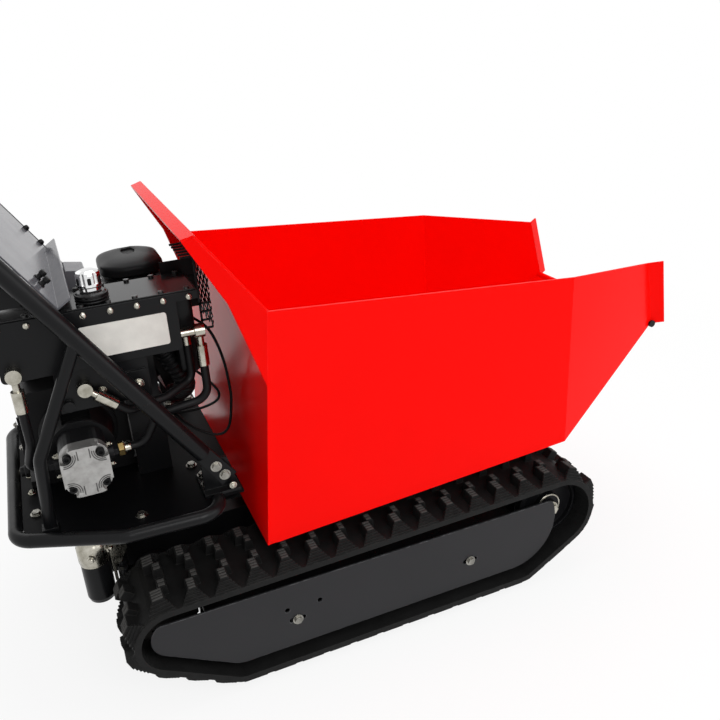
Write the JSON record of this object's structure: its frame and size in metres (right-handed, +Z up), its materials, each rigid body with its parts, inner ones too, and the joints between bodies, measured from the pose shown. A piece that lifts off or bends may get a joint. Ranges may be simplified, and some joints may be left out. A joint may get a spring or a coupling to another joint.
{
  "type": "tracked power carrier",
  "caption": "Walk-behind tracked power carrier with a red front-tipping hopper, rubber tracks, hydraulic drive and an engine deck behind the hopper",
  "frame": {"origin": "on the ground, in the middle of the machine's length and width", "axes": "+X forward to the hopper's chute, +Y to the left, +Z up"},
  "size_m": [1.5263, 0.72, 1.046],
  "materials": {
    "red_paint": "powder-coated red sheet metal, satin gloss",
    "black_paint": "black paint on welded steel, satin gloss",
    "plate_grey": "dark grey powder coat, fine texture",
    "panel_grey": "light grey paint on sheet metal",
    "track_rubber": "moulded rubber, dusty on the lugs",
    "soft_rubber": "smooth black rubber",
    "zinc_steel": "zinc-plated steel",
    "bright_steel": "chromed steel",
    "wheel_black": "black-painted cast iron",
    "engine_black": "black-painted aluminium castings",
    "pump_alloy": "bare cast aluminium",
    "black_plastic": "moulded black plastic",
    "guard_black": "black heat-resistant paint"
  },
  "bodies": {
    "chassis": {"chassis_frame": "black_paint", "track_beam_right": "black_paint", "track_beam_left": "black_paint", "side_plate_right": "plate_grey", "side_plate_left": "plate_grey", "rubber_track_right": "track_rubber", "rubber_track_left": "track_rubber", "drive_motor_right": "wheel_black", "drive_motor_left": "wheel_black", "wheel_axles": "zinc_steel", "hex_bolts": "zinc_steel", "tip_pins": "zinc_steel", "rest_pads": "soft_rubber", "cylinder_foot_pin": "zinc_steel", "deck_plate": "black_paint", "bumper_tube": "black_paint", "handle_bars": "black_paint", "handle_feet": "black_paint", "grips": "soft_rubber", "console": "panel_grey", "lever_shaft": "zinc_steel", "control_valve": "black_paint", "switch_box": "panel_grey", "engine": "engine_black", "cylinder_head": "engine_black", "recoil_cover": "engine_black", "fuel_tank": "black_plastic", "muffler": "guard_black", "mesh_guard": "guard_black", "bell_housing": "engine_black", "gear_pump": "wheel_black", "pump_cover": "pump_alloy", "pump_bolts": "guard_black", "hydraulic_tank": "black_paint", "tank_cover": "panel_grey", "tank_bolts": "zinc_steel", "hoses": "soft_rubber", "hose_fittings": "zinc_steel", "oil_filter": "black_paint"},
    "sprocket_right": {"sprocket_right": "zinc_steel"},
    "sprocket_left": {"sprocket_left": "zinc_steel"},
    "idler_right": {"idler_right": "wheel_black"},
    "idler_left": {"idler_left": "wheel_black"},
    "roller_right_rear": {"roller_right_rear": "wheel_black"},
    "roller_right_middle": {"roller_right_middle": "wheel_black"},
    "roller_right_front": {"roller_right_front": "wheel_black"},
    "roller_left_rear": {"roller_left_rear": "wheel_black"},
    "roller_left_middle": {"roller_left_middle": "wheel_black"},
    "roller_left_front": {"roller_left_front": "wheel_black"},
    "hopper": {"hopper": "red_paint", "lip_plugs": "black_plastic", "cylinder_rod_pin": "zinc_steel"},
    "cylinder_barrel": {"cylinder_barrel": "black_paint"},
    "cylinder_rod": {"cylinder_rod": "bright_steel"},
    "drive_lever_right": {"drive_lever_right": "black_plastic"},
    "drive_lever_left": {"drive_lever_left": "black_plastic"},
    "tip_lever": {"tip_lever": "black_plastic"},
    "throttle_lever": {"throttle_lever": "black_plastic"},
    "fuel_cap": {"fuel_cap": "black_plastic"},
    "breather_cap": {"breather_cap": "bright_steel"}
  },
  "joints": [
    {"name": "sprocket_right_turn", "type": "hinge", "parent": "chassis", "child": "sprocket_right", "pos_m": [-0.457, -0.27, 0.16915], "axis": [0, 1, 0], "continuous": true},
    {"name": "idler_right_turn", "type": "hinge", "parent": "chassis", "child": "idler_right", "pos_m": [0.397, -0.27, 0.168], "axis": [0, 1, 0], "continuous": true},
    {"name": "roller_right_rear_turn", "type": "hinge", "parent": "chassis", "child": "roller_right_rear", "pos_m": [-0.335, -0.27, 0.062], "axis": [0, 1, 0], "continuous": true},
    {"name": "roller_right_middle_turn", "type": "hinge", "parent": "chassis", "child": "roller_right_middle", "pos_m": [-0.014, -0.27, 0.062], "axis": [0, 1, 0], "continuous": true},
    {"name": "roller_right_front_turn", "type": "hinge", "parent": "chassis", "child": "roller_right_front", "pos_m": [0.307, -0.27, 0.062], "axis": [0, 1, 0], "continuous": true},
    {"name": "sprocket_left_turn", "type": "hinge", "parent": "chassis", "child": "sprocket_left", "pos_m": [-0.457, 0.27, 0.16915], "axis": [0, 1, 0], "continuous": true},
    {"name": "idler_left_turn", "type": "hinge", "parent": "chassis", "child": "idler_left", "pos_m": [0.397, 0.27, 0.168], "axis": [0, 1, 0], "continuous": true},
    {"name": "roller_left_rear_turn", "type": "hinge", "parent": "chassis", "child": "roller_left_rear", "pos_m": [-0.335, 0.27, 0.062], "axis": [0, 1, 0], "continuous": true},
    {"name": "roller_left_middle_turn", "type": "hinge", "parent": "chassis", "child": "roller_left_middle", "pos_m": [-0.014, 0.27, 0.062], "axis": [0, 1, 0], "continuous": true},
    {"name": "roller_left_front_turn", "type": "hinge", "parent": "chassis", "child": "roller_left_front", "pos_m": [0.307, 0.27, 0.062], "axis": [0, 1, 0], "continuous": true},
    {"name": "hopper_tip", "type": "hinge", "parent": "chassis", "child": "hopper", "pos_m": [0.43, 0, 0.29], "axis": [0, 1, 0], "range_deg": [0, 60]},
    {"name": "cylinder_pivot", "type": "hinge", "parent": "chassis", "child": "cylinder_barrel", "pos_m": [-0.29, 0, 0.15], "axis": [0, 1, 0], "range_deg": [-7.6, 0]},
    {"name": "rod_slide", "type": "slide", "parent": "cylinder_barrel", "child": "cylinder_rod", "axis": [0.98, 0, 0.1991], "range_m": [0, 0.0525]},
    {"name": "drive_lever_right_swing", "type": "hinge", "parent": "chassis", "child": "drive_lever_right", "pos_m": [-0.703, -0.07, 0.912], "axis": [0, 1, 0], "range_deg": [-15, 15], "stiffness_Nm_per_rad": 4},
    {"name": "drive_lever_left_swing", "type": "hinge", "parent": "chassis", "child": "drive_lever_left", "pos_m": [-0.703, 0.07, 0.912], "axis": [0, 1, 0], "range_deg": [-15, 15], "stiffness_Nm_per_rad": 4},
    {"name": "tip_lever_swing", "type": "hinge", "parent": "chassis", "child": "tip_lever", "pos_m": [-0.703, 0, 0.912], "axis": [0, 1, 0], "range_deg": [-15, 15], "stiffness_Nm_per_rad": 4},
    {"name": "throttle_lever_swing", "type": "hinge", "parent": "chassis", "child": "throttle_lever", "pos_m": [-0.703, 0.14, 0.912], "axis": [0, 1, 0], "range_deg": [-15, 15]},
    {"name": "fuel_cap_turn", "type": "hinge", "parent": "chassis", "child": "fuel_cap", "pos_m": [-0.56, 0.06, 0.7343], "axis": [0, 0, 1], "range_deg": [0, 90]},
    {"name": "breather_cap_turn", "type": "hinge", "parent": "chassis", "child": "breather_cap", "pos_m": [-0.47, -0.164, 0.7983], "axis": [0, 0, 1], "range_deg": [0, 90]}
  ],
  "couplings": [
    {"joint": "idler_right_turn", "follows": "sprocket_right_turn", "ratio": 0.80536},
    {"joint": "roller_right_rear_turn", "follows": "sprocket_right_turn", "ratio": 1.8568},
    {"joint": "roller_right_middle_turn", "follows": "sprocket_right_turn", "ratio": 1.8568},
    {"joint": "roller_right_front_turn", "follows": "sprocket_right_turn", "ratio": 1.8568},
    {"joint": "idler_left_turn", "follows": "sprocket_left_turn", "ratio": 0.80536},
    {"joint": "roller_left_rear_turn", "follows": "sprocket_left_turn", "ratio": 1.8568},
    {"joint": "roller_left_middle_turn", "follows": "sprocket_left_turn", "ratio": 1.8568},
    {"joint": "roller_left_front_turn", "follows": "sprocket_left_turn", "ratio": 1.8568},
    {"joint": "cylinder_pivot", "follows": "hopper_tip", "ratio": -0.1252},
    {"joint": "rod_slide", "follows": "hopper_tip", "m_per_rad": 0.04995}
  ]
}
